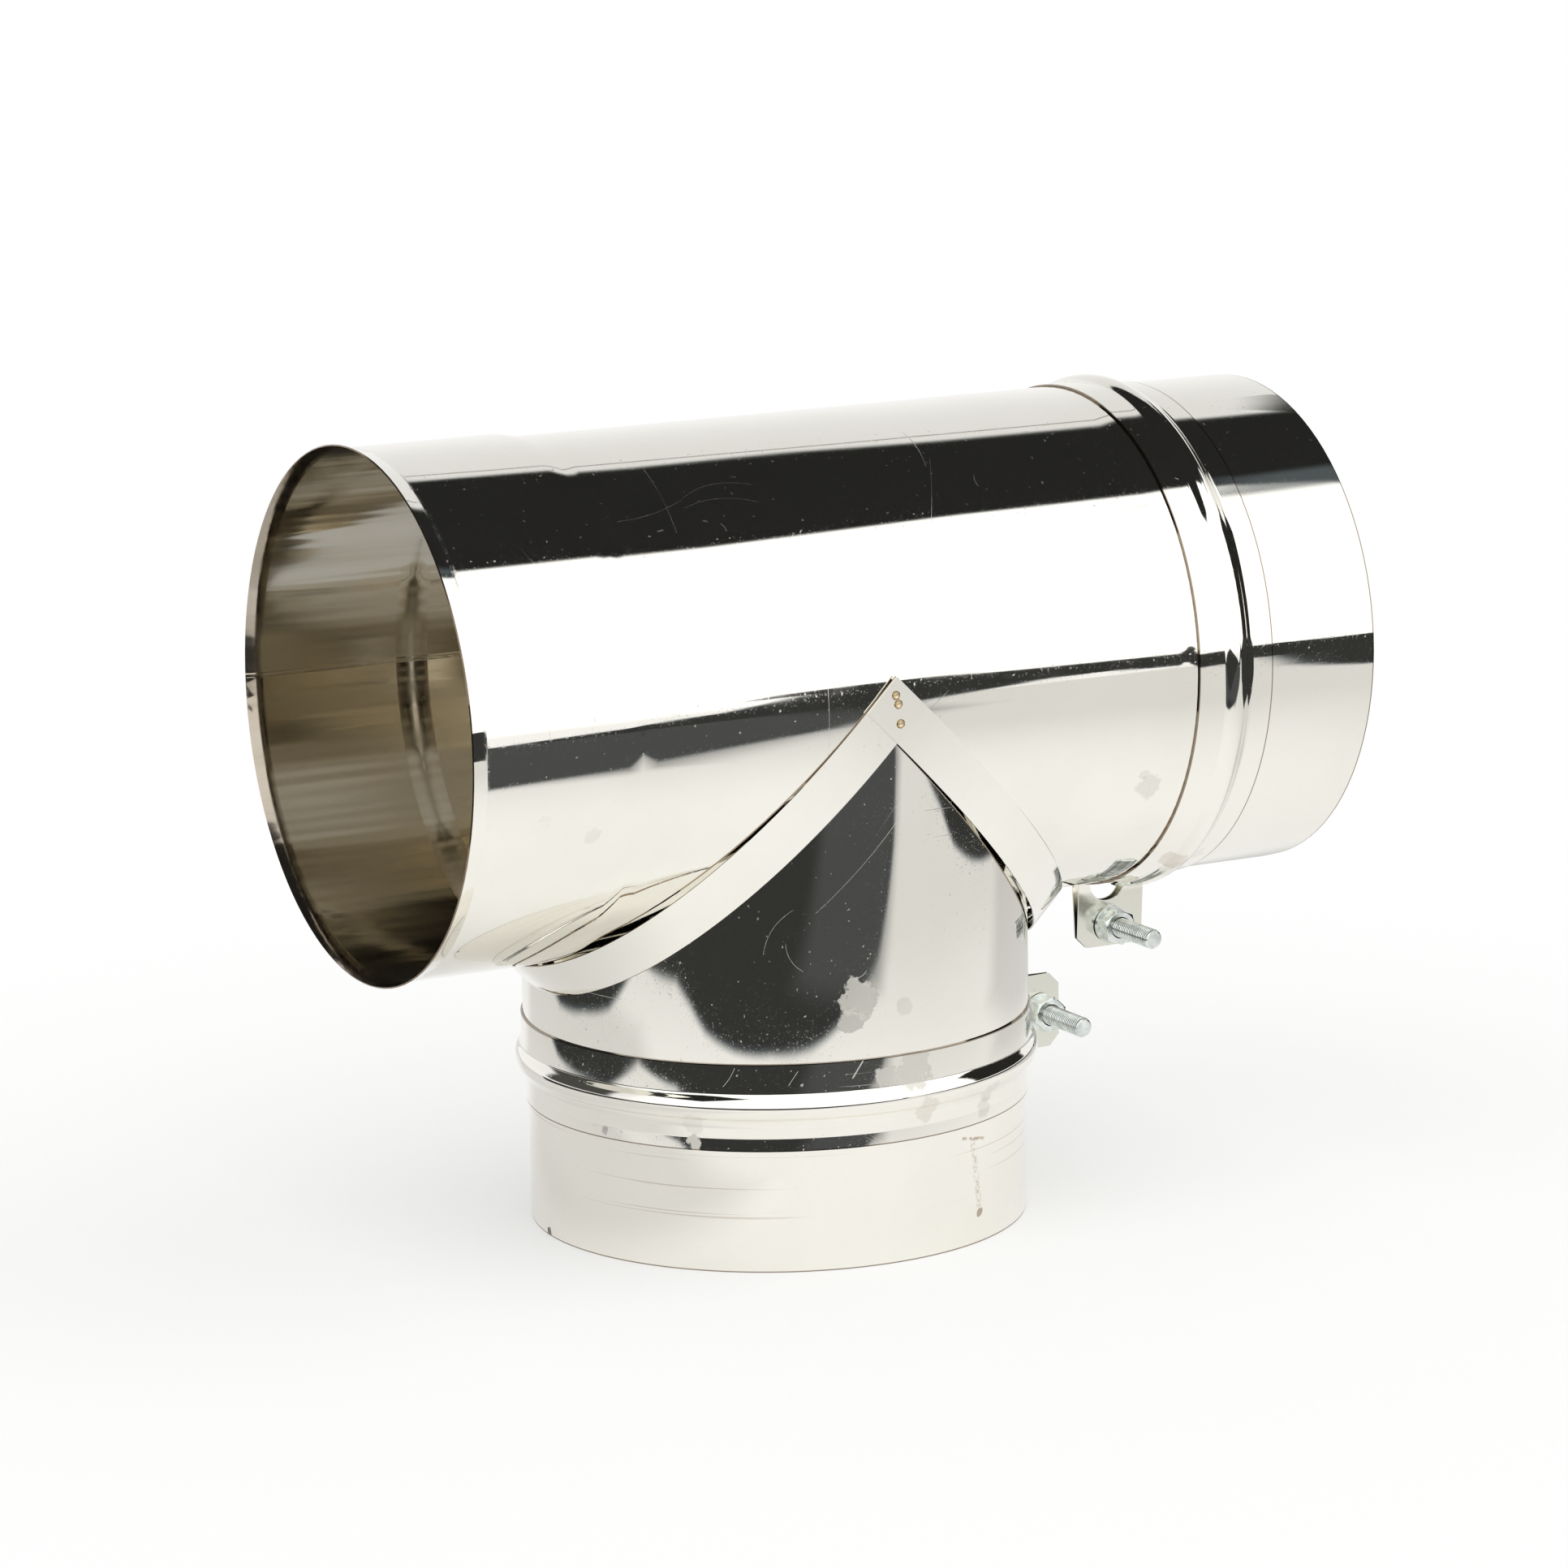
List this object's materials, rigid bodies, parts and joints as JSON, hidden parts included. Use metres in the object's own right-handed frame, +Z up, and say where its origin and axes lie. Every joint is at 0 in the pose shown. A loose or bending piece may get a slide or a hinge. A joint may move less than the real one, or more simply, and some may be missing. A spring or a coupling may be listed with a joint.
{
  "type": "flue tee",
  "caption": "Single-wall round flue tee with a flared socket, beaded spigots on the run and the branch, saddle strips over the mitred joint and bolted clamp bands on both spigots.",
  "frame": {"origin": "centre of the branch spigot's rim, on which the tee stands", "axes": "+X along the run towards its spigot, +Z up the branch axis, +Y away from the side where the clamp nuts are"},
  "size_m": [0.3956, 0.207, 0.3199],
  "materials": {
    "polished_sheet": "mirror-polished stainless sheet",
    "band_sheet": "bright rolled stainless strip",
    "zinc_plated": "bright zinc plating"
  },
  "bodies": {
    "root": {"run_tube": "polished_sheet", "branch_tube": "polished_sheet", "left_saddle_strip": "polished_sheet", "right_saddle_strip": "polished_sheet", "run_clamp_band": "band_sheet", "branch_clamp_band": "band_sheet", "run_clamp_bolt": "zinc_plated", "run_clamp_washer": "zinc_plated", "run_clamp_nut": "zinc_plated", "branch_clamp_bolt": "zinc_plated", "branch_clamp_washer": "zinc_plated", "branch_clamp_nut": "zinc_plated"}
  },
  "joints": []
}
